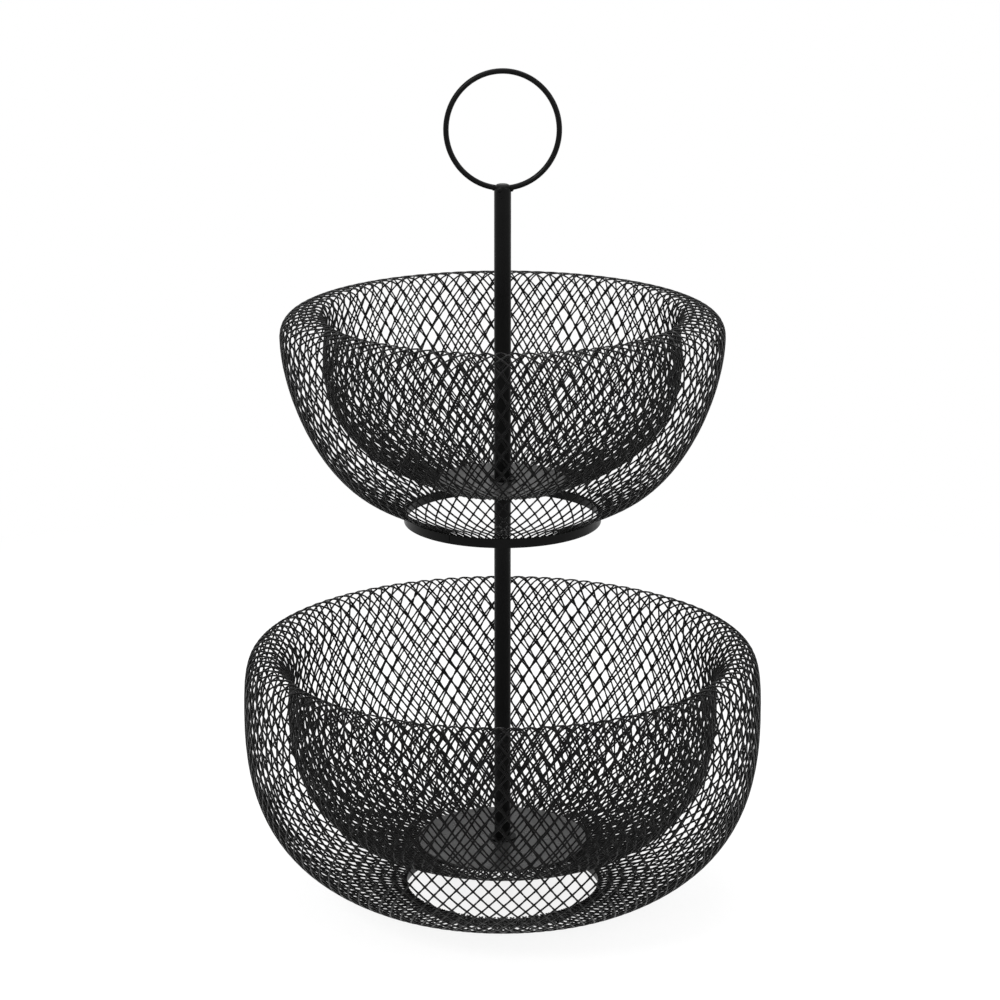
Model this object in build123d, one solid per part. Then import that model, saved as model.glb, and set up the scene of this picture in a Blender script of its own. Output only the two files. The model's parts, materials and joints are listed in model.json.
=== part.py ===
from build123d import *
import os
from math import cos, hypot, pi, radians, sin

# A two-tier mesh basket on one pole, with a ring handle on top.
# Millimetres, +Z up. The origin is on the floor, on the axis of the pole.
# Each basket is one tube of expanded mesh. It starts on the base ring, rises as
# the outer wall, rolls over the rim, comes down as the inner wall and ends
# under the floor disc. Its solid is a thin skin along that path, with a plain
# grid of diamond windows that stands for the much finer diamonds of the mesh.

# Height of the upper base ring above the floor
tier_rise = 219.5

# Mesh skin: the paths below run along its middle
mesh_thickness = 1.0
mesh_seat_gap = 0.2
mesh_foot_overhang = 0.6
mesh_disc_lap = 4.0
mesh_disc_margin = 1.0

# Windows in the skin. Each row is set off by half a window from the next, and
# the bands along the foot, the crest, the fold and the disc stay closed
window_rib = 3.2
window_reach = 6.0
foot_band = 6.0
crest_band = 14.0
fold_band = 2.0
disc_band = 2.0
lower_window_columns = 20
lower_outer_rows = 6
lower_inner_rows = 4
upper_window_columns = 18
upper_outer_rows = 5
upper_inner_rows = 4

# Base rings, rolled from flat strip
strip_height = 5.0
strip_thickness = 1.2
lower_ring_radius = 56.5
upper_ring_radius = 54.5
seam_width = 0.4
seam_depth = 0.3
seam_bearing = 238.3

# Lower basket, heights above its own base ring
lower_belly_radius = 144.5
lower_belly_height = 106.7
lower_crest_radius = 131.9
lower_crest_height = 145.0
lower_fold_radius = 119.3
lower_fold_height = 123.8
lower_haunch_radius = 98.3
lower_haunch_height = 15.5
lower_foot_slope = 11.0
lower_haunch_slope = 28.4
lower_fold_lean = 95.1
lower_floor_slope = 8.4
lower_disc_radius = 47.5
lower_disc_height = 31.0

# Upper basket, heights above its own base ring
upper_belly_radius = 120.8
upper_belly_height = 105.3
upper_crest_radius = 101.9
upper_crest_height = 118.2
upper_fold_radius = 96.7
upper_fold_height = 105.6
upper_haunch_radius = 85.4
upper_haunch_height = 24.0
upper_foot_slope = 26.0
upper_haunch_slope = 42.0
upper_fold_lean = 97.3
upper_floor_slope = 23.8
upper_disc_radius = 35.0
upper_disc_height = 23.3

# How far each bend reaches, as shares of the straight line across it: foot to
# haunch, haunch to belly, belly to crest, crest to fold and fold to floor, each
# with its start and its end
lower_bend_shares = ((0.32, 0.26), (0.38, 0.42), (0.70, 0.28), (0.25, 0.47), (0.56, 0.35))
upper_bend_shares = ((0.37, 0.36), (0.36, 0.24), (0.41, 0.50), (0.31, 0.65), (0.54, 0.33))

# Floor discs
disc_thickness = 1.2
disc_hole_clearance = 0.3

# Poles
pole_radius = 4.6
pole_wall = 0.8
upper_pole_length = 156.5

# Screwed joints. Threads are plain cylinders
thread_radius = 2.5
thread_clearance = 0.05
insert_clearance = 0.05
insert_length = 12.0
stud_reach = 10.0
washer_thickness = 1.2
washer_clearance = 0.2
upper_washer_radius = 7.2
lower_washer_radius = 7.8
base_washer_radius = 7.5
screw_head_radius = 4.6
screw_head_height = 3.4
screw_head_rounding = 1.6
screw_reach = 9.0
recess_length = 5.0
recess_width = 1.1
recess_depth = 1.8

# Pole cap and handle ring
cap_height = 6.8
cap_rounding = 2.6
cap_plug_length = 8.0
cap_plug_clearance = 0.05
handle_wire_radius = 1.5
handle_outer_height = 65.9
handle_outer_width = 63.6
handle_sink = 0.8
handle_hole_clearance = 0.05

# Cuts run past the faces they cross by this much
overrun = 1.0


def tube(outer_radius, inner_radius, bottom, top):
    """A round tube or washer on the axis."""
    section = Circle(outer_radius) - Circle(inner_radius)
    return Pos(0, 0, bottom) * extrude(section, amount=top - bottom)


def rod(radius, bottom, top):
    """A round bar on the axis."""
    return Pos(0, 0, bottom) * extrude(Circle(radius), amount=top - bottom)


def step(point, angle, length):
    """The point that lies a length away, at an angle from the radius."""
    return (point[0] + length * cos(radians(angle)), point[1] + length * sin(radians(angle)))


def bend(start, start_angle, end, end_angle, shares):
    """One smooth run of the path, leaving and arriving at the given angles."""
    span = ((end[0] - start[0]) ** 2 + (end[1] - start[1]) ** 2) ** 0.5
    first = step(start, start_angle, shares[0] * span)
    last = step(end, end_angle, -shares[1] * span)
    return Bezier(start, first, last, end)


def windows(path, start, end, columns, rows):
    """Cutters for the diamonds between two places along the path of a skin."""
    half_height = (end - start) / (rows + 1)
    cutters = []
    for row in range(rows):
        at = start + (row + 1) * half_height
        middle = path.position_at(at, position_mode=PositionMode.LENGTH)
        along = path.tangent_at(at, position_mode=PositionMode.LENGTH)
        half_width = pi * middle.X / columns
        open_share = 1 - window_rib / 2 * hypot(half_width, half_height) / (half_width * half_height)
        wide = half_width * open_share
        high = half_height * open_share
        diamond = Polygon((wide, 0), (0, high), (-wide, 0), (0, -high), align=None)
        square_to_skin = Plane((middle.X, 0, middle.Y), x_dir=(0, 1, 0), z_dir=(along.Y, 0, -along.X))
        cutter = extrude(square_to_skin * diamond, amount=window_reach, both=True)
        set_off = row % 2 / 2
        cutters += [Rot(0, 0, (column + set_off) * 360 / columns) * cutter for column in range(columns)]
    return cutters


def mesh_basket(ring_radius, belly, crest, fold, haunch, slopes, disc, bend_shares, grid):
    """The skin of one basket, with its base ring standing on zero."""
    foot_slope, haunch_slope, fold_lean, floor_slope = slopes
    disc_radius, disc_height = disc
    columns, outer_rows, inner_rows = grid

    # The foot lies over the inner top edge of the ring and ends inside it
    ring_edge = (ring_radius - strip_thickness, strip_height)
    over_edge = step(ring_edge, foot_slope + 90, mesh_seat_gap + mesh_thickness / 2)
    foot = step(over_edge, foot_slope, -mesh_foot_overhang)

    # The inner end lies flat against the underside of the disc
    floor_height = disc_height - disc_thickness - mesh_thickness / 2
    floor_start = (disc_radius + mesh_disc_margin, floor_height)
    lap_end = disc_radius - mesh_disc_lap

    places = (foot, haunch, belly, crest, fold)
    headings = (foot_slope, haunch_slope, 90, 180, 180 + fold_lean, 180 + floor_slope)
    corner_heading = 180 + floor_slope / 2
    corner_stretch = 1 / cos(radians(floor_slope / 2))

    def face_of_skin(shift):
        """The path moved sideways, to one face of the skin, and the end of its lap."""
        moved = [step(place, heading - 90, shift) for place, heading in zip(places, headings)]
        moved.append(step(floor_start, corner_heading - 90, shift * corner_stretch))
        runs = [
            bend(moved[turn], headings[turn], moved[turn + 1], headings[turn + 1], bend_shares[turn])
            for turn in range(len(bend_shares))
        ]
        lap = Line(moved[-1], (lap_end, floor_height + shift))
        return moved[0], (lap_end, floor_height + shift), [*runs, lap]

    outer_foot, outer_lap, outer_face = face_of_skin(mesh_thickness / 2)
    inner_foot, inner_lap, inner_face = face_of_skin(-mesh_thickness / 2)
    ends = [Line(outer_lap, inner_lap), Line(inner_foot, outer_foot)]
    outline = make_face([run.edge() for run in [*outer_face, *inner_face, *ends]])
    skin = revolve(Plane.XZ * outline, axis=Axis.Z)

    # The windows follow the middle of the skin, without the lap under the disc
    middle_runs = face_of_skin(0)[2][:-1]
    path = Wire([run.edge() for run in middle_runs])
    crest_place = sum(run.length for run in middle_runs[:3])
    fold_place = crest_place + middle_runs[3].length
    outer_windows = windows(path, foot_band, crest_place - crest_band, columns, outer_rows)
    inner_windows = windows(path, fold_place + fold_band, path.length - disc_band, columns, inner_rows)
    return skin - [*outer_windows, *inner_windows]


def base_ring(radius):
    """A strip ring standing on zero, with a shallow butt seam on its outside."""
    ring = tube(radius, radius - strip_thickness, 0, strip_height)
    seam = Pos(radius, 0, strip_height / 2) * Box(2 * seam_depth, seam_width, strip_height + 2 * overrun)
    return ring - Rot(0, 0, seam_bearing) * seam


def handle_wire(radius):
    """The closed ring of the handle, as wire of the given radius."""
    half_width = handle_outer_width / 2 - handle_wire_radius
    half_height = handle_outer_height / 2 - handle_wire_radius
    path = Edge.make_ellipse(half_width, half_height, Plane.XZ)
    start = Plane(origin=path.position_at(0), z_dir=path.tangent_at(0))
    return Pos(0, 0, handle_centre) * sweep(start * Circle(radius), path=path)


def raised(solid):
    """A piece of the upper tier, lifted to its place."""
    return Pos(0, 0, tier_rise) * solid


# Heights that follow from the sizes above
lower_disc_bottom = lower_disc_height - disc_thickness
lower_pole_bottom = lower_disc_height + washer_thickness
upper_disc_top = tier_rise + upper_disc_height
upper_disc_bottom = upper_disc_top - disc_thickness
upper_pole_bottom = upper_disc_top + washer_thickness
upper_pole_top = upper_pole_bottom + upper_pole_length
cap_top = upper_pole_top + cap_height
handle_centre = cap_top - handle_sink - 2 * handle_wire_radius + handle_outer_height / 2
tube_bore = pole_radius - pole_wall
insert_radius = tube_bore - insert_clearance
insert_bore = thread_radius + thread_clearance
disc_hole = thread_radius + disc_hole_clearance
washer_hole = thread_radius + washer_clearance

nodes = {}

nodes["lower_mesh_basket"] = mesh_basket(
    lower_ring_radius,
    (lower_belly_radius, lower_belly_height),
    (lower_crest_radius, lower_crest_height),
    (lower_fold_radius, lower_fold_height),
    (lower_haunch_radius, lower_haunch_height),
    (lower_foot_slope, lower_haunch_slope, lower_fold_lean, lower_floor_slope),
    (lower_disc_radius, lower_disc_height),
    lower_bend_shares,
    (lower_window_columns, lower_outer_rows, lower_inner_rows),
)
nodes["upper_mesh_basket"] = raised(mesh_basket(
    upper_ring_radius,
    (upper_belly_radius, upper_belly_height),
    (upper_crest_radius, upper_crest_height),
    (upper_fold_radius, upper_fold_height),
    (upper_haunch_radius, upper_haunch_height),
    (upper_foot_slope, upper_haunch_slope, upper_fold_lean, upper_floor_slope),
    (upper_disc_radius, upper_disc_height),
    upper_bend_shares,
    (upper_window_columns, upper_outer_rows, upper_inner_rows),
))

nodes["lower_base_ring"] = base_ring(lower_ring_radius)
nodes["upper_base_ring"] = raised(base_ring(upper_ring_radius))

nodes["lower_floor_disc"] = tube(lower_disc_radius, disc_hole, lower_disc_bottom, lower_disc_height)
nodes["upper_floor_disc"] = tube(upper_disc_radius, disc_hole, upper_disc_bottom, upper_disc_top)

nodes["lower_washer"] = tube(lower_washer_radius, washer_hole, lower_disc_height, lower_pole_bottom)
nodes["upper_washer"] = tube(upper_washer_radius, washer_hole, upper_disc_top, upper_pole_bottom)
nodes["base_washer"] = tube(
    base_washer_radius, washer_hole, lower_disc_bottom - washer_thickness, lower_disc_bottom
)

nodes["lower_pole"] = tube(pole_radius, tube_bore, lower_pole_bottom, upper_disc_bottom)
nodes["upper_pole"] = tube(pole_radius, tube_bore, upper_pole_bottom, upper_pole_top)

nodes["lower_pole_bottom_insert"] = tube(
    insert_radius, insert_bore, lower_pole_bottom, lower_pole_bottom + insert_length
)
nodes["lower_pole_top_insert"] = tube(
    insert_radius, insert_bore, upper_disc_bottom - insert_length, upper_disc_bottom
)
nodes["upper_pole_insert"] = tube(
    insert_radius, insert_bore, upper_pole_bottom, upper_pole_bottom + insert_length
)
nodes["joining_stud"] = rod(
    thread_radius, upper_disc_bottom - stud_reach, upper_pole_bottom + stud_reach
)

# Base screw: pan head below its washer, with a cross recess
head_top = lower_disc_bottom - washer_thickness
head_bottom = head_top - screw_head_height
head = rod(screw_head_radius, head_bottom, head_top)
head = fillet(head.edges().group_by(Axis.Z)[0], radius=screw_head_rounding)
recess_slot = Pos(0, 0, head_bottom) * Box(recess_length, recess_width, 2 * recess_depth)
recess = recess_slot + Rot(0, 0, 90) * recess_slot
shank = rod(thread_radius, head_top, lower_pole_bottom + screw_reach)
nodes["base_screw"] = head - recess + shank

# Cap: a rounded end on the pole, plugged into it, with the ring through it
cap = rod(pole_radius, upper_pole_top, cap_top)
cap = fillet(cap.edges().group_by(Axis.Z)[-1], radius=cap_rounding)
plug = rod(tube_bore - cap_plug_clearance, upper_pole_top - cap_plug_length, upper_pole_top)
nodes["pole_top_cap"] = cap + plug - handle_wire(handle_wire_radius + handle_hole_clearance)
nodes["handle_ring"] = handle_wire(handle_wire_radius)

os.makedirs("parts", exist_ok=True)
for name, solid in nodes.items():
    export_step(solid, f"parts/{name}.step")
    box = solid.bounding_box()
    print(f"{name}: {len(solid.solids())} solid, {solid.volume:.1f} mm3, "
          f"z {box.min.Z:.2f} to {box.max.Z:.2f}")
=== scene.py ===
import json
import math

import bpy
import numpy as np
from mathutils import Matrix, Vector


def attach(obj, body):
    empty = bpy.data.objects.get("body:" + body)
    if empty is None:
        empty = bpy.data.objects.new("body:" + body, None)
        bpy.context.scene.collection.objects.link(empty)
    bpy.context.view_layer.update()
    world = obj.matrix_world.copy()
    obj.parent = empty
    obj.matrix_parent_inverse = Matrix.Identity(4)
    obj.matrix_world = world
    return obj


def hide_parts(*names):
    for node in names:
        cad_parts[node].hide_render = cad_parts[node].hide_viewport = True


# The looks of a two-tier mesh basket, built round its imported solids.
# Metres, in the frame of the solids: +Z up, the front faces -Y.

MM = 0.001

# Bearing of the front, in degrees round from +X, and the direction away from it
FRONT = 270.0
BACKWARD = (0.0, 1.0, 0.0)

# Headings of a path, in degrees up from outward
UPWARD = 90.0
INWARD = 180.0

# Base strips, floor discs and the seats of the mesh tubes on them, in millimetres
strip_height = 5.0
strip_thickness = 1.2
skin_thickness = 1.0
seat_gap = 0.2
foot_overhang = 0.6
disc_lap = 4.0
disc_margin = 1.0
disc_thickness = 1.2

# The two tiers, in millimetres and degrees. A place is a radius and a height above the
# foot of the base ring, on the middle line of the solid's skin. Lean is how far the
# rows of nodes turn, and slip how far they slide, by their length along the tube.
lower = dict(
    name="lower", base=0.0, ring_radius=56.5,
    haunch=(98.3, 15.5), belly=(144.5, 106.7), crest=(131.9, 145.0), fold=(119.3, 123.8),
    foot_slope=11.0, haunch_slope=28.4, fold_lean=95.1, floor_slope=8.4,
    disc_radius=47.5, disc_height=31.0,
    bend_shares=((0.32, 0.26), (0.38, 0.42), (0.70, 0.28), (0.25, 0.47), (0.56, 0.35)),
    cells=101, strand=7.25, strand_width=0.92, seat_drop=0.3, first_row=4.02, bearing=-1.59,
    lean=((95, 0.0), (183, 0.9)), slip=((188, 0.0), (248, 2.8)), seed=3,
)
upper = dict(
    name="upper", base=219.5, ring_radius=54.5,
    haunch=(85.4, 24.0), belly=(120.8, 105.3), crest=(101.9, 118.2), fold=(96.7, 105.6),
    foot_slope=26.0, haunch_slope=42.0, fold_lean=97.3, floor_slope=23.8,
    disc_radius=35.0, disc_height=23.3,
    bend_shares=((0.37, 0.36), (0.36, 0.24), (0.41, 0.50), (0.31, 0.65), (0.54, 0.33)),
    cells=87, strand=7.38, strand_width=0.81, seat_drop=0.8, first_row=4.19, bearing=-0.43,
    lean=((-3, 0.0), (87, -1.97), (137, -2.4), (217, -2.1)),
    slip=((97, 0.0), (127, -2.0), (137, -2.8), (157, -5.9), (179, -9.2)), seed=8,
)

# Points of each run of a path, and the number of runs from the foot to the crest
run_points = 160
runs_to_crest = 3

# Mesh strands, in millimetres
strand_depth_share = 0.92
node_spread_share = 1.35
node_depth_share = 1.08
flat_share = 0.5
half_way_share = 0.5
shortest_tip_share = 0.05
longest_corner = 2.4
least_sine_squared = 1e-4
pitch_rounds = 3
ring_seat_fade = 10.0
disc_seat_lift = 0.1

# Unevenness of the mesh, in millimetres: the nodes wander in waves, with so many of
# them at most round the tube and so many radians at most per millimetre along it
wander = 0.30
wander_waves = 7
most_waves_round = 9
most_turn_along = 0.09
jitter = 0.09

# Weld at the foot of the handle ring, in millimetres: the centre and half size
# of each lump, and the rim of the crater below the bead, in degrees round it
pole_radius = 4.6
weld_lumps = (
    ((0.2, 0.0, 405.1), (4.3, 3.6, 2.0)),
    ((-4.8, 0.0, 404.9), (1.0, 1.4, 1.3)),
    ((4.9, 0.0, 404.6), (1.3, 1.4, 1.5)),
    ((-1.7, -4.1, 404.5), (1.5, 1.0, 1.3)),
)
weld_seed = 5
lump_sides = 18
lump_waves = 5
most_lump_turns = 3
lump_uneven_share = 0.05
crater_centre = (-0.9, 401.9)
crater_radius = 1.6
crater_rim = 0.32
crater_from = 150.0
crater_to = 330.0
crater_points = 15
rim_sides = 8
rim_tip_share = 0.2

# Camera, fitted to the photograph
camera_back = 1.6481
camera_height = 0.7000
camera_side = -0.0014
camera_pitch = 15.888
camera_reach = 50.0
focal_pixels = 3103.1
frame_pixels = 1000
sensor_width = 36.0

# Floor and world: the greys that light the object, the grey and glow of the floor
# that is seen near the object, and between which distances it turns plain white
floor_size = 30.0
floor_grey = 0.8
seen_floor_grey = 0.2
seen_floor_glow = 0.86
white_from = 0.35
white_to = 0.8
world_grey = 0.55

# Lamps: place, width and power in watts, all aimed near the middle of the object
lamp_target = (0.0, 0.0, 0.2)
lamps = {
    "key": ((-1.3, -1.5, 1.6), 0.7, 26.0),
    "fill": ((1.5, -1.2, 1.1), 1.2, 10.0),
    "top": ((0.0, 0.2, 2.2), 1.8, 26.0),
}

# Noise of the finishes: scales per metre, detail, and the values that a blend spans
cloud_scale = 60.0
sheen_scale = 140.0
cloud_detail = 3.0
fine_detail = 2.0
noise_roughness = 0.55
blend_from = 0.3
blend_to = 0.7

# Paints: the two greys of each, its range of roughness, specular level, and the
# scale and strength of its orange peel
peel_depth = 0.00005
paints = {
    "black_powder_coat": dict(
        greys=(0.0014, 0.0030), rough=(0.30, 0.40), specular=0.09, peel_scale=2600.0, peel_share=0.25,
    ),
    "black_mesh": dict(
        greys=(0.0022, 0.0048), rough=(0.30, 0.42), specular=0.08, peel_scale=2600.0, peel_share=0.2,
    ),
    "satin_disc": dict(
        greys=(0.032, 0.040), rough=(0.26, 0.34), specular=0.5, peel_scale=3200.0, peel_share=0.1,
    ),
}

# Plated steel: grey and tint of its two tones, and its turning marks
steel_tones = ((0.50, 0.01), (0.62, 0.02))
steel_cloud_scale = 200.0
steel_rough = (0.24, 0.38)
mark_scale = 900.0
mark_stretch = (1.0, 1.0, 14.0)
mark_depth = 0.00003
mark_share = 0.2

# Corners between the four strands of a node, the three heights of each corner,
# and the number of points in a ring round a strand
RIGHT, TOP, LEFT, BOTTOM = range(4)
CORNERS = 4
UPPER_FACE, MIDDLE, LOWER_FACE = range(3)
LEVELS = 3
RING = 6


def bezier(start, start_angle, end, end_angle, shares):
    """Points of one smooth run of a path, with handles in shares of its chord."""
    start = np.array(start)
    end = np.array(end)
    span = np.linalg.norm(end - start)
    leave, arrive = [
        np.array([math.cos(math.radians(angle)), math.sin(math.radians(angle))])
        for angle in (start_angle, end_angle)
    ]
    first = start + leave * shares[0] * span
    last = end - arrive * shares[1] * span
    t = np.linspace(0, 1, run_points)[:, None]
    return (1 - t) ** 3 * start + 3 * (1 - t) ** 2 * t * first + 3 * (1 - t) * t ** 2 * last + t ** 3 * end


class Path:
    """The middle line of one mesh tube, by length along it."""

    def __init__(self, tier):
        slope = math.radians(tier["foot_slope"])
        along = np.array([math.cos(slope), math.sin(slope)])
        away = np.array([-math.sin(slope), math.cos(slope)])
        edge = np.array([tier["ring_radius"] - strip_thickness, strip_height])
        foot = edge + away * (seat_gap + skin_thickness / 2) - along * foot_overhang
        floor_height = tier["disc_height"] - disc_thickness - skin_thickness / 2
        floor_start = (tier["disc_radius"] + disc_margin, floor_height)
        lap_end = (tier["disc_radius"] - disc_lap, floor_height)
        places = [foot, tier["haunch"], tier["belly"], tier["crest"], tier["fold"], floor_start]
        headings = [
            tier["foot_slope"], tier["haunch_slope"], UPWARD, INWARD,
            INWARD + tier["fold_lean"], INWARD + tier["floor_slope"],
        ]
        runs = [
            bezier(places[turn], headings[turn], places[turn + 1], headings[turn + 1], shares)
            for turn, shares in enumerate(tier["bend_shares"])
        ]
        self.points = np.vstack([runs[0]] + [run[1:] for run in runs[1:]] + [[lap_end]])
        steps = np.linalg.norm(np.diff(self.points, axis=0), axis=1)
        self.marks = np.concatenate([[0], np.cumsum(steps)])
        self.total = self.marks[-1]
        self.crest = self.marks[runs_to_crest * (run_points - 1)]
        self.lap = self.marks[-2]
        self.seat_drop = tier["seat_drop"]
        slopes = np.gradient(self.points, self.marks, axis=0)
        self.slopes = slopes / np.linalg.norm(slopes, axis=1)[:, None]

    def heading(self, s):
        """How fast the radius and the height grow."""
        return [np.interp(s, self.marks, self.slopes[:, axis]) for axis in range(2)]

    def place(self, s):
        """Radius and height, carried on straight past both ends."""
        inside = np.clip(s, 0, self.total)
        over = s - inside
        return [
            np.interp(inside, self.marks, self.points[:, axis]) + over * slope
            for axis, slope in enumerate(self.heading(inside))
        ]


def unit(vectors):
    return vectors / np.linalg.norm(vectors, axis=-1, keepdims=True)


def dot(a, b):
    return np.sum(a * b, axis=-1, keepdims=True)


def seat_shift(path, s):
    """How far out of the path the mesh lies, so that it rests on its ring and under its disc."""
    drop = np.clip(1 - s / ring_seat_fade, 0, 1) * path.seat_drop
    lift = np.clip((s - path.lap) / disc_margin + 1, 0, 1) * disc_seat_lift
    return lift + drop


def surface(path, base, s, turn):
    """Places on a mesh tube, and the directions straight out of it there."""
    radius, height = path.place(s)
    run, rise = path.heading(s)
    size = np.hypot(run, rise)
    run = run / size
    rise = rise / size
    cos = np.cos(turn)
    sin = np.sin(turn)
    around = np.stack([-sin, cos, np.zeros_like(sin)], -1)
    along = np.stack([run * cos, run * sin, rise], -1)
    out = np.cross(around, along)
    place = np.stack([radius * cos, radius * sin, height + base], -1)
    return place + out * seat_shift(path, s)[..., None], out


def wave(draw, s, turn):
    """A smooth wandering that closes round the tube."""
    total = np.zeros_like(s)
    for _ in range(wander_waves):
        around = draw.integers(-most_waves_round, most_waves_round + 1)
        along = draw.uniform(-most_turn_along, most_turn_along)
        total += np.cos(around * turn + along * s + draw.uniform(0, 2 * math.pi))
    return total * wander / math.sqrt(wander_waves / 2)


def lattice(tier):
    """Rows of nodes, by their length along the tube and turn round it.

    The first and the last row lie past the ends of the tube.
    """
    path = Path(tier)
    cells = tier["cells"]

    def pitch(s, sign):
        """The way to the next row, where strands keep their length as the tube's width changes."""
        step = 0.0
        for _ in range(pitch_rounds):
            half_cell = math.pi * path.place(s + sign * step / 2)[0] / cells
            step = math.sqrt(tier["strand"] ** 2 - half_cell ** 2)
        return sign * step

    def slipped(s):
        return s + np.interp(s, *zip(*tier["slip"]))

    rows = [tier["first_row"]]
    rows.insert(0, rows[0] + pitch(rows[0], -1))
    while slipped(rows[-1]) < path.total:
        rows.append(rows[-1] + pitch(rows[-1], 1))
    parity = (np.arange(len(rows)) + 1) % 2
    s = np.repeat(np.array(rows)[:, None], cells, 1)
    turn = (np.arange(cells)[None, :] + parity[:, None] / 2) * 2 * math.pi / cells
    turn = turn + np.radians(FRONT + tier["bearing"] + np.interp(s, *zip(*tier["lean"])))
    s = slipped(s)
    draw = np.random.default_rng(tier["seed"])
    radius = path.place(s)[0]
    moved_s = s + wave(draw, s, turn) + draw.normal(0, jitter, s.shape)
    moved_turn = turn + (wave(draw, s, turn) + draw.normal(0, jitter, s.shape)) / radius
    return path, parity, moved_s, moved_turn


def mesh_tube(tier):
    """One whole tube of mesh: its points in metres, and the faces and caps of its two halves."""
    path, parity, s, turn = lattice(tier)
    base = tier["base"]
    rows, cells = s.shape
    cell = np.arange(cells)
    place, out = surface(path, base, s, turn)
    half_width = tier["strand_width"] / 2
    half_depth = half_width * strand_depth_share

    def beside(values, row, column):
        """A row's values, moved so that entry k is that of cell k + column."""
        return np.roll(values[row], -column, axis=0)

    # Nodes: four corners, each at three heights
    corners = np.zeros((rows, cells, CORNERS, LEVELS, 3))
    for row in range(1, rows - 1):
        right = parity[row]
        ways = {}
        for name, other, column in (
            ("up_right", row + 1, right), ("up_left", row + 1, right - 1),
            ("down_left", row - 1, right - 1), ("down_right", row - 1, right),
        ):
            way = beside(place, other, column) - place[row]
            ways[name] = unit(way - dot(way, out[row]) * out[row])
        pairs = {
            RIGHT: ("up_right", "down_right"), TOP: ("up_right", "up_left"),
            LEFT: ("up_left", "down_left"), BOTTOM: ("down_left", "down_right"),
        }
        for corner, (one, other) in pairs.items():
            middle = unit(ways[one] + ways[other])
            sine = np.sqrt(np.clip(1 - dot(ways[one], middle) ** 2, least_sine_squared, 1))
            reach = np.minimum(half_width * node_spread_share / sine, longest_corner)
            rise = out[row] * half_depth * node_depth_share
            corners[row, :, corner, MIDDLE] = place[row] + middle * reach
            corners[row, :, corner, UPPER_FACE] = place[row] + middle * reach * flat_share + rise
            corners[row, :, corner, LOWER_FACE] = place[row] + middle * reach * flat_share - rise
    points = [corners.reshape(-1, 3)]
    used = len(points[0])

    def node_ring(row, column, left, right):
        """The ring of a node's points that a strand starts from, seen along the strand."""
        first = (row * cells + (cell + column) % cells) * CORNERS
        order = (
            (left, UPPER_FACE), (right, UPPER_FACE), (right, MIDDLE),
            (right, LOWER_FACE), (left, LOWER_FACE), (left, MIDDLE),
        )
        return np.stack([(first + corner) * LEVELS + level for corner, level in order], -1)

    def strand_ring(row, other, column, share):
        """A new ring across the strands from a row to its neighbours, at a share of the way."""
        nonlocal used
        gap = beside(turn, other, column) - turn[row]
        gap = (gap + math.pi) % (2 * math.pi) - math.pi
        at_s = s[row] + (beside(s, other, column) - s[row]) * share
        centre, rise = surface(path, base, at_s, turn[row] + gap * share)
        way = unit(beside(place, other, column) - place[row])
        side = unit(np.cross(way, rise))
        flat = side * half_width * flat_share
        high = rise * half_depth
        points.append(np.stack([
            centre - flat + high, centre + flat + high, centre + side * half_width,
            centre + flat - high, centre - flat - high, centre - side * half_width,
        ], 1).reshape(-1, 3))
        ring = used + np.arange(cells * RING).reshape(cells, RING)
        used += cells * RING
        return ring

    def wall(one, other):
        """Faces between two rings."""
        return np.stack([
            np.stack([one[:, i], one[:, (i + 1) % RING], other[:, (i + 1) % RING], other[:, i]], -1)
            for i in range(RING)
        ], 1).reshape(-1, 4)

    walls = {"outer": [], "inner": []}
    caps = {"outer": [], "inner": []}
    seam = int(np.argmin(np.abs(s[:, 0] - path.crest)))
    for row in range(1, rows - 1):
        half = "outer" if row <= seam else "inner"
        right = parity[row]
        first = row * cells + cell
        for level, order in ((UPPER_FACE, 1), (LOWER_FACE, -1)):
            ring = [(first * CORNERS + corner) * LEVELS + level for corner in (RIGHT, TOP, LEFT, BOTTOM)]
            walls[half].append(np.stack(ring[::order], -1))
        ups = (
            (right, (TOP, RIGHT), (LEFT, BOTTOM)),
            (right - 1, (LEFT, TOP), (BOTTOM, RIGHT)),
        )
        for column, start, end in ups:
            from_node = node_ring(row, 0, *start)
            if row == rows - 2:
                share = (path.total - s[row]) / (beside(s, row + 1, column) - s[row])
                tip = strand_ring(row, row + 1, column, np.clip(share, shortest_tip_share, 1))
                walls[half].append(wall(from_node, tip))
                caps[half].append(tip)
                continue
            middle = strand_ring(row, row + 1, column, half_way_share)
            next_half = "outer" if row + 1 <= seam else "inner"
            walls[half].append(wall(from_node, middle))
            walls[next_half].append(wall(middle, node_ring(row + 1, column, *end)))
            if next_half != half:
                caps[half].append(middle)
                caps[next_half].append(middle[:, ::-1])
        if row == 1:
            for column, start in ((right, (RIGHT, BOTTOM)), (right - 1, (BOTTOM, LEFT))):
                share = s[row] / (s[row] - beside(s, row - 1, column))
                tip = strand_ring(row, row - 1, column, np.clip(share, shortest_tip_share, 1))
                walls[half].append(wall(node_ring(row, 0, *start), tip))
                caps[half].append(tip)
    return np.vstack(points) * MM, walls, caps


def linked_object(name, data):
    """A new object in the scene."""
    made = bpy.data.objects.new(name, data)
    bpy.context.scene.collection.objects.link(made)
    return made


def new_mesh(name, points, faces, smooth=True):
    data = bpy.data.meshes.new(name)
    data.from_pydata(points, [], faces)
    data.polygons.foreach_set("use_smooth", np.full(len(data.polygons), smooth))
    data.update()
    return data


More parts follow.
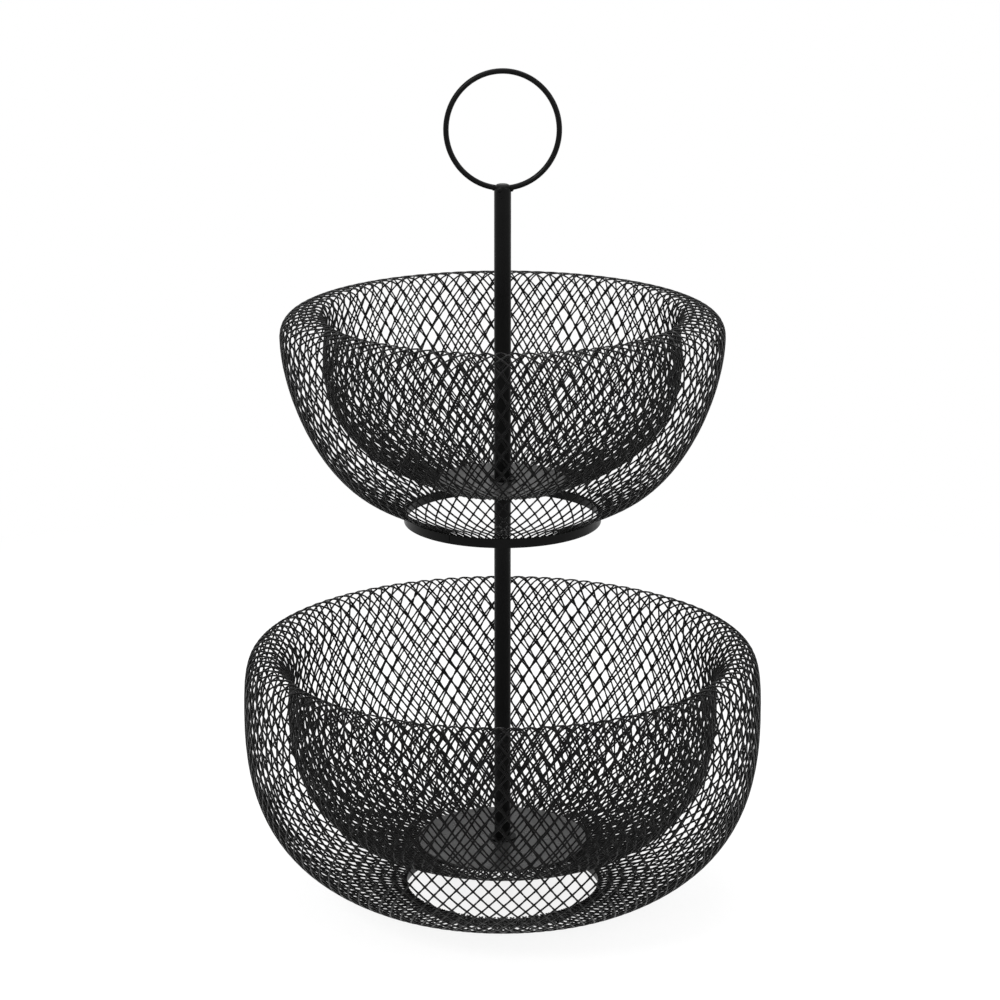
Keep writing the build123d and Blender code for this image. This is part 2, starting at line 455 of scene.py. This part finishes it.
def mesh_object(name, points, quads, caps):
    """A smooth object of quads and six-sided end caps, with only the points that they use."""
    corners, places = np.unique(np.concatenate([quads.ravel(), caps.ravel()]), return_inverse=True)
    quad_corners = places[:quads.size].reshape(quads.shape).tolist()
    cap_corners = places[quads.size:].reshape(caps.shape).tolist()
    data = new_mesh(name, points[corners].tolist(), quad_corners + cap_corners)
    rims = {
        tuple(sorted((cap[i], cap[(i + 1) % RING])))
        for cap in cap_corners
        for i in range(RING)
    }
    sharp = np.array([tuple(sorted(edge.vertices)) in rims for edge in data.edges])
    data.attributes.new("sharp_edge", "BOOLEAN", "EDGE").data.foreach_set("value", sharp)
    data.update()
    return linked_object(name, data)


def lump(draw, centre, half):
    """Points and faces of a small round lump of weld, with a given centre and half size."""
    levels = lump_sides // 2
    waves = [
        (
            draw.integers(1, most_lump_turns + 1),
            draw.integers(1, most_lump_turns + 1),
            draw.uniform(0, 2 * math.pi),
        )
        for _ in range(lump_waves)
    ]
    points = []
    for level in range(1, levels):
        tilt = math.pi * level / levels
        for side in range(lump_sides):
            turn = 2 * math.pi * side / lump_sides
            waviness = sum(math.sin(a * turn + p) * math.sin(b * tilt) for a, b, p in waves)
            swell = 1 + lump_uneven_share * waviness
            points.append([
                centre[0] + half[0] * swell * math.sin(tilt) * math.cos(turn),
                centre[1] + half[1] * swell * math.sin(tilt) * math.sin(turn),
                centre[2] + half[2] * swell * math.cos(tilt),
            ])
    top = len(points)
    points.append([centre[0], centre[1], centre[2] + half[2]])
    points.append([centre[0], centre[1], centre[2] - half[2]])
    faces = []
    for side in range(lump_sides):
        after = (side + 1) % lump_sides
        faces.append((top, side, after))
        for level in range(levels - 2):
            row = level * lump_sides
            faces.append((row + side, row + lump_sides + side, row + lump_sides + after, row + after))
        last = (levels - 2) * lump_sides
        faces.append((last + side, top + 1, last + after))
    return points, faces


def crater():
    """Points and faces of a thin raised rim on the front of the pole that tapers to both ends."""
    turns = np.radians(np.linspace(crater_from, crater_to, crater_points))
    x = crater_centre[0] + crater_radius * np.cos(turns)
    y = -np.sqrt(pole_radius ** 2 - x ** 2)
    z = crater_centre[1] + crater_radius * np.sin(turns)
    places = np.stack([x, y, z], -1)
    ways = unit(np.gradient(places, axis=0))
    points = []
    for place, way, share in zip(places, ways, np.linspace(0, 1, crater_points)):
        side = unit(np.cross(way, BACKWARD))
        out = np.cross(side, way)
        width = crater_rim * max(math.sin(math.pi * share), rim_tip_share)
        for corner in range(rim_sides):
            turn = 2 * math.pi * corner / rim_sides
            points.append(list(place + width * (math.cos(turn) * side + math.sin(turn) * out)))
    faces = []
    for first in range(0, (crater_points - 1) * rim_sides, rim_sides):
        for corner in range(rim_sides):
            after = (corner + 1) % rim_sides
            above = first + rim_sides
            faces.append((first + corner, first + after, above + after, above + corner))
    faces.append(tuple(range(rim_sides))[::-1])
    faces.append(tuple(range((crater_points - 1) * rim_sides, crater_points * rim_sides)))
    return points, faces


def joined_object(name, shells):
    """A smooth object of several closed shells, which are in millimetres."""
    points = []
    faces = []
    for shell_points, shell_faces in shells:
        first = len(points)
        points += [[value * MM for value in point] for point in shell_points]
        faces += [tuple(first + corner for corner in face) for face in shell_faces]
    return linked_object(name, new_mesh(name, points, faces))


class Nodes:
    """The node tree of a material or world, built a line at a time."""

    def __init__(self, owner, output):
        owner.use_nodes = True
        self.tree = owner.node_tree
        self.tree.nodes.clear()
        self.output = self.tree.nodes.new(output)

    def feed(self, socket, value):
        """Gives a socket a link, where the value is another node's socket, or else a plain value."""
        if isinstance(value, bpy.types.NodeSocket):
            self.tree.links.new(value, socket)
        else:
            socket.default_value = value

    def add(self, kind, settings=None, **inputs):
        """A node with its settings. An input is named, with _ for a space, or is i0, i1 or i2 by place."""
        node = self.tree.nodes.new(kind)
        for key, value in (settings or {}).items():
            setattr(node, key, value)
        for key, value in inputs.items():
            by_place = key[0] == "i" and key[1:].isdigit()
            self.feed(node.inputs[int(key[1:]) if by_place else key.replace("_", " ")], value)
        return node

    def object_place(self):
        return self.add("ShaderNodeTexCoord").outputs["Object"]

    def noise(self, place, scale, detail):
        node = self.add(
            "ShaderNodeTexNoise", Vector=place, Scale=scale, Detail=detail, Roughness=noise_roughness
        )
        return node.outputs["Fac"]

    def between(self, value, low, high, start=blend_from, end=blend_to):
        """A value that goes from low to high as another goes from start to end."""
        node = self.add(
            "ShaderNodeMapRange", Value=value, From_Min=start, From_Max=end, To_Min=low, To_Max=high
        )
        return node.outputs["Result"]

    def mix(self, share, one, other):
        """A colour between two others."""
        node = self.add("ShaderNodeMix", {"data_type": "RGBA"})
        sockets = {socket.identifier: socket for socket in node.inputs}
        for name, value in (("Factor_Float", share), ("A_Color", one), ("B_Color", other)):
            self.feed(sockets[name], value)
        return next(socket for socket in node.outputs if socket.identifier == "Result_Color")

    def seen(self):
        """One for rays of the camera, gloss and glass, and zero for those that light the object."""
        rays = self.add("ShaderNodeLightPath").outputs
        total = rays["Is Camera Ray"]
        for kind in ("Is Glossy Ray", "Is Transmission Ray"):
            total = self.add(
                "ShaderNodeMath", {"operation": "ADD", "use_clamp": True}, i0=total, i1=rays[kind]
            ).outputs[0]
        return total

    def finish(self, shader):
        self.tree.links.new(shader.outputs[0], self.output.inputs["Surface"])


def grey(level, blue=0.0):
    return (level, level, level + blue, 1.0)


def new_material(name):
    material = bpy.data.materials.new(name)
    return material, Nodes(material, "ShaderNodeOutputMaterial")


def powder_coat(name, greys, rough, specular, peel_scale, peel_share):
    """Baked powder paint with a fine orange peel and faint clouds of colour and sheen."""
    material, nodes = new_material(name)
    place = nodes.object_place()
    clouds = nodes.noise(place, cloud_scale, cloud_detail)
    colour = nodes.mix(nodes.between(clouds, 0.0, 1.0), grey(greys[0]), grey(greys[1]))
    sheen = nodes.between(nodes.noise(place, sheen_scale, cloud_detail), *rough)
    peel = nodes.noise(place, peel_scale, fine_detail)
    bump = nodes.add("ShaderNodeBump", Strength=peel_share, Distance=peel_depth, Height=peel)
    nodes.finish(nodes.add(
        "ShaderNodeBsdfPrincipled", Base_Color=colour, Roughness=sheen,
        Specular_IOR_Level=specular, Normal=bump.outputs["Normal"],
    ))
    return material


def plated_steel(name):
    """Zinc-plated steel with faint turning marks."""
    material, nodes = new_material(name)
    place = nodes.object_place()
    clouds = nodes.noise(place, steel_cloud_scale, cloud_detail)
    colour = nodes.mix(nodes.between(clouds, 0.0, 1.0), grey(*steel_tones[0]), grey(*steel_tones[1]))
    stretched = nodes.add("ShaderNodeMapping", Vector=place, Scale=mark_stretch).outputs["Vector"]
    marks = nodes.noise(stretched, mark_scale, fine_detail)
    bump = nodes.add("ShaderNodeBump", Strength=mark_share, Distance=mark_depth, Height=marks)
    nodes.finish(nodes.add(
        "ShaderNodeBsdfPrincipled", Base_Color=colour, Roughness=nodes.between(marks, *steel_rough),
        Metallic=1.0, Normal=bump.outputs["Normal"],
    ))
    return material


def floor_paint():
    """Pale paint that shows the object's shadow near it and is seen plain white further out."""
    material, nodes = new_material("floor")
    lighting = nodes.add("ShaderNodeBsdfDiffuse", Color=grey(floor_grey))
    seen_paint = nodes.add("ShaderNodeBsdfDiffuse", Color=grey(seen_floor_grey))
    glow = nodes.add("ShaderNodeEmission", Color=grey(1.0), Strength=seen_floor_glow)
    near = nodes.add("ShaderNodeAddShader", i0=seen_paint.outputs[0], i1=glow.outputs[0])
    far = nodes.add("ShaderNodeEmission", Color=grey(1.0), Strength=1.0)
    way = nodes.add("ShaderNodeVectorMath", {"operation": "LENGTH"}, i0=nodes.object_place())
    fade = nodes.between(way.outputs["Value"], 0.0, 1.0, white_from, white_to)
    shown = nodes.add("ShaderNodeMixShader", i0=fade, i1=near.outputs[0], i2=far.outputs[0])
    nodes.finish(nodes.add(
        "ShaderNodeMixShader", i0=nodes.seen(), i1=lighting.outputs[0], i2=shown.outputs[0]
    ))
    return material


def stage_floor():
    half = floor_size / 2
    points = [(-half, -half, 0), (half, -half, 0), (half, half, 0), (-half, half, 0)]
    floor = linked_object("floor", new_mesh("floor", points, [(0, 1, 2, 3)], smooth=False))
    floor.data.materials.append(floor_paint())


def studio_world():
    """Even studio light, and white where the camera, gloss or glass sees past the floor."""
    world = bpy.data.worlds.new("studio")
    bpy.context.scene.world = world
    nodes = Nodes(world, "ShaderNodeOutputWorld")
    plain = nodes.add("ShaderNodeBackground", Color=grey(world_grey))
    white = nodes.add("ShaderNodeBackground", Color=grey(1.0))
    nodes.finish(nodes.add(
        "ShaderNodeMixShader", i0=nodes.seen(), i1=plain.outputs[0], i2=white.outputs[0]
    ))


def soft_lamp(name, place, width, power):
    data = bpy.data.lights.new(name, "AREA")
    data.shape = "SQUARE"
    data.size = width
    data.energy = power
    lamp = linked_object(name, data)
    lamp.location = place
    lamp.rotation_euler = (Vector(lamp_target) - Vector(place)).to_track_quat("-Z", "Y").to_euler()


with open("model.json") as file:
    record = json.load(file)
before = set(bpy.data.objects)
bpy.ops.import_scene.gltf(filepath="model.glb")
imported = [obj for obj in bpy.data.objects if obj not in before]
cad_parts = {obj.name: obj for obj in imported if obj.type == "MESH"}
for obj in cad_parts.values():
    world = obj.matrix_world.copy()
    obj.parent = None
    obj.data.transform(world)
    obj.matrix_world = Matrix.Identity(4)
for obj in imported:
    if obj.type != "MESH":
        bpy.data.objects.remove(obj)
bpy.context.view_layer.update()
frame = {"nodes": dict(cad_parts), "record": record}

# Camera
camera_data = bpy.data.cameras.new("camera")
camera_data.sensor_width = sensor_width
camera_data.lens = focal_pixels / frame_pixels * sensor_width
camera_data.clip_end = camera_reach
camera = linked_object("camera", camera_data)
camera.location = (camera_side, -camera_back, camera_height)
camera.rotation_euler = (math.radians(90 - camera_pitch), 0, 0)
bpy.context.scene.camera = camera

# Stage and light
stage_floor()
studio_world()
for name, (place, width, power) in lamps.items():
    soft_lamp(name, place, width, power)
bpy.context.scene.view_settings.view_transform = "Standard"

# Materials
finishes = {name: powder_coat(name, **paint) for name, paint in paints.items()}
finishes["plated_steel"] = plated_steel("plated_steel")
slots = {part["node"]: part["material_slot"] for part in frame["record"]["subparts"]}
for node, solid in frame["nodes"].items():
    solid.data.materials.clear()
    solid.data.materials.append(finishes[slots[node]])

# Mesh baskets
for tier in (lower, upper):
    points, walls, caps = mesh_tube(tier)
    for half in ("outer", "inner"):
        piece = mesh_object(
            f"{tier['name']}_basket_{half}_mesh", points, np.vstack(walls[half]), np.vstack(caps[half])
        )
        piece.data.materials.append(finishes["black_mesh"])
        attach(piece, "root")
        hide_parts(f"{tier['name']}_mesh_basket")

# Weld that holds the handle ring in the cap: a low dome over the wire, fillets
# where the wire goes in, a bead at the front left and the rim of a small crater
draw = np.random.default_rng(weld_seed)
weld_shells = [lump(draw, centre, half) for centre, half in weld_lumps]
weld = joined_object("handle_ring_weld", weld_shells + [crater()])
weld.data.materials.append(finishes["black_powder_coat"])
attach(weld, "root")
